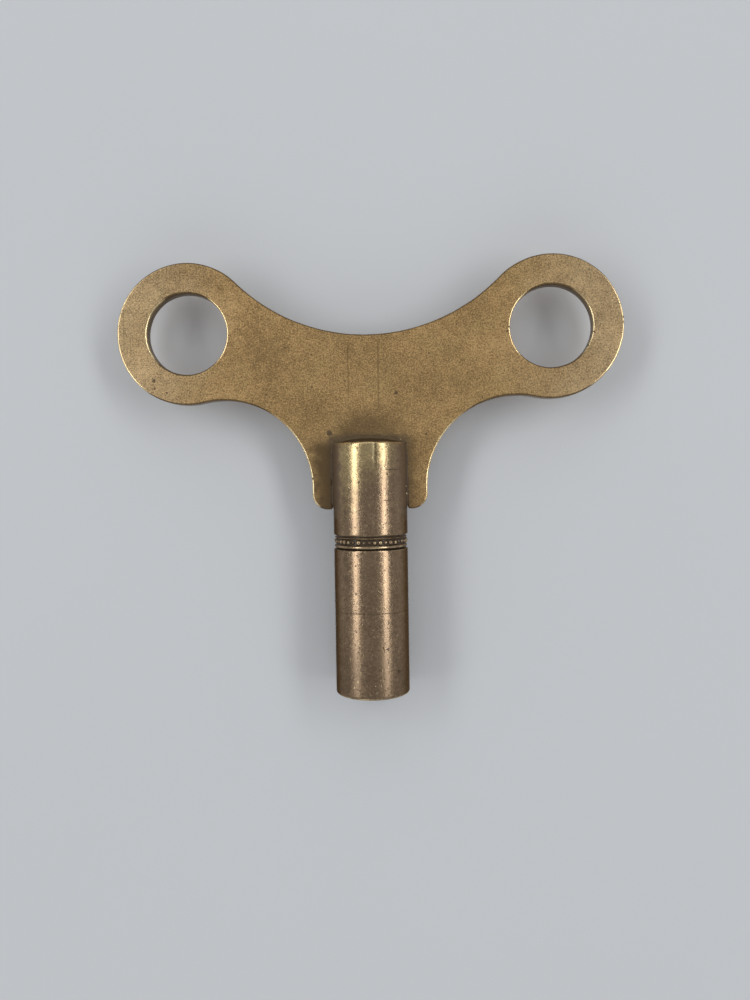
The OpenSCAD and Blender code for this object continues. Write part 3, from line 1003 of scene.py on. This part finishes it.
# The lights: name, place and size in metres, and power in watts
LIGHTS = (
    ("left_softbox", (-0.42, 0.12, 0.43), (0.62, 0.15), 1.22),
    ("right_softbox", (0.42, 0.12, 0.43), (0.62, 0.14), 1.32),
    ("near_fill", (0.0, -0.50, 0.30), (0.80, 0.34), 0.6),
    ("far_fill", (0.0, 0.56, 0.30), (0.80, 0.34), 0.6),
)
LIGHT_COLOUR = (0.95, 0.985, 1.0)
LIGHTS_AIM = Vector((0.0, 0.030, 0.0))
SKY_COLOUR, SKY_STRENGTH = (0.93, 0.96, 1.0, 1.0), 0.40
FLOOR_REACH = 3.0
CAMERA_PLACE, CAMERA_TURN_DEG = (0.004137, 0.026582, 0.091934), (-1.966, 2.187, -0.878)
CAMERA_LENS, CAMERA_SENSOR = 27.12, 36.0


def add_floor(scene, low_z, paint):
    """A plain floor under the key."""
    mesh = bpy.data.meshes.new("floor")
    corners = [(x * FLOOR_REACH, y * FLOOR_REACH, low_z)
               for x, y in ((-1, -1), (1, -1), (1, 1), (-1, 1))]
    mesh.from_pydata(corners, [], [(0, 1, 2, 3)])
    mesh.materials.append(paint)
    ground = bpy.data.objects.new("floor", mesh)
    scene.collection.objects.link(ground)


def add_lights(scene):
    """Even light from the sky, and four large lamps aimed at the key."""
    world = bpy.data.worlds.new("studio")
    world.use_nodes = True
    sky = world.node_tree.nodes["Background"]
    sky.inputs["Color"].default_value = SKY_COLOUR
    sky.inputs["Strength"].default_value = SKY_STRENGTH
    scene.world = world
    for name, place, size, watts in LIGHTS:
        light = bpy.data.lights.new(name, "AREA")
        light.shape = "RECTANGLE"
        light.size, light.size_y = size
        light.energy = watts
        light.color = LIGHT_COLOUR
        lamp = bpy.data.objects.new(name, light)
        lamp.location = place
        lamp.rotation_euler = (LIGHTS_AIM - lamp.location).to_track_quat("-Z", "Y").to_euler()
        scene.collection.objects.link(lamp)


def add_camera(scene):
    """A camera nearly straight above the key."""
    lens = bpy.data.cameras.new("camera")
    lens.sensor_width, lens.lens = CAMERA_SENSOR, CAMERA_LENS
    lens.clip_start, lens.clip_end = 0.001, 10.0
    camera = bpy.data.objects.new("camera", lens)
    camera.location = CAMERA_PLACE
    camera.rotation_euler = [math.radians(turn) for turn in CAMERA_TURN_DEG]
    scene.collection.objects.link(camera)
    scene.camera = camera


# ---------------------------------------------------------------- operators


class KEY_OT_bow(bpy.types.Operator):
    """Stamps the bow: its rolled edges, finger holes and legs"""

    bl_idname = "bleed_key.bow"
    bl_label = "Make the bow"

    def execute(self, context):
        s, f = context.scene.key_sizes, context.scene.key_finishes
        add_piece("bow", bow_mesh(s), bow_brass(f, s), "bow_plate")
        return {"FINISHED"}


class KEY_OT_shank(bpy.types.Operator):
    """Turns the shank: its beaded band, domed end, slot and square socket"""

    bl_idname = "bleed_key.shank"
    bl_label = "Make the shank"

    def execute(self, context):
        s, f = context.scene.key_sizes, context.scene.key_finishes
        add_piece("turned_shank", shank_mesh(s), shank_brass(f, s), "shank")
        return {"FINISHED"}


class KEY_OT_solder(bpy.types.Operator):
    """Runs the solder along the seam on both faces of the bow"""

    bl_idname = "bleed_key.solder"
    bl_label = "Make the solder seam"

    def execute(self, context):
        s, f = context.scene.key_sizes, context.scene.key_finishes
        add_piece("solder_seam", solder_mesh(s), old_solder(f, s), "solder_joint")
        return {"FINISHED"}


class KEY_OT_stage(bpy.types.Operator):
    """Sets the floor, the lights and the camera"""

    bl_idname = "bleed_key.stage"
    bl_label = "Set the stage"

    def execute(self, context):
        scene = context.scene
        add_floor(scene, CAD_BOX[0].z, floor_paint(scene.key_finishes))
        add_lights(scene)
        add_camera(scene)
        scene.view_settings.view_transform = "Standard"
        return {"FINISHED"}


class KEY_PT_panel(bpy.types.Panel):
    """Lists the key's sizes, finishes and steps"""

    bl_label = "Radiator bleed key"
    bl_idname = "KEY_PT_panel"
    bl_space_type = "VIEW_3D"
    bl_region_type = "UI"
    bl_category = "Bleed key"

    def draw(self, context):
        column = self.layout.column(align=True)
        for group in (context.scene.key_sizes, context.scene.key_finishes):
            for name in group.__annotations__:
                column.prop(group, name)
        for step in STEPS:
            self.layout.operator(step.bl_idname)


STEPS = (KEY_OT_bow, KEY_OT_shank, KEY_OT_solder, KEY_OT_stage)
CLASSES = (KeySizes, KeyFinishes) + STEPS + (KEY_PT_panel,)


def register():
    for c in CLASSES:
        bpy.utils.register_class(c)
    bpy.types.Scene.key_sizes = PointerProperty(type=KeySizes)
    bpy.types.Scene.key_finishes = PointerProperty(type=KeyFinishes)


def unregister():
    del bpy.types.Scene.key_finishes
    del bpy.types.Scene.key_sizes
    for c in reversed(CLASSES):
        bpy.utils.unregister_class(c)


def main():
    register()
    bpy.ops.bleed_key.bow()
    bpy.ops.bleed_key.shank()
    bpy.ops.bleed_key.solder()
    bpy.ops.bleed_key.stage()


if __name__ == "__main__":
    main()
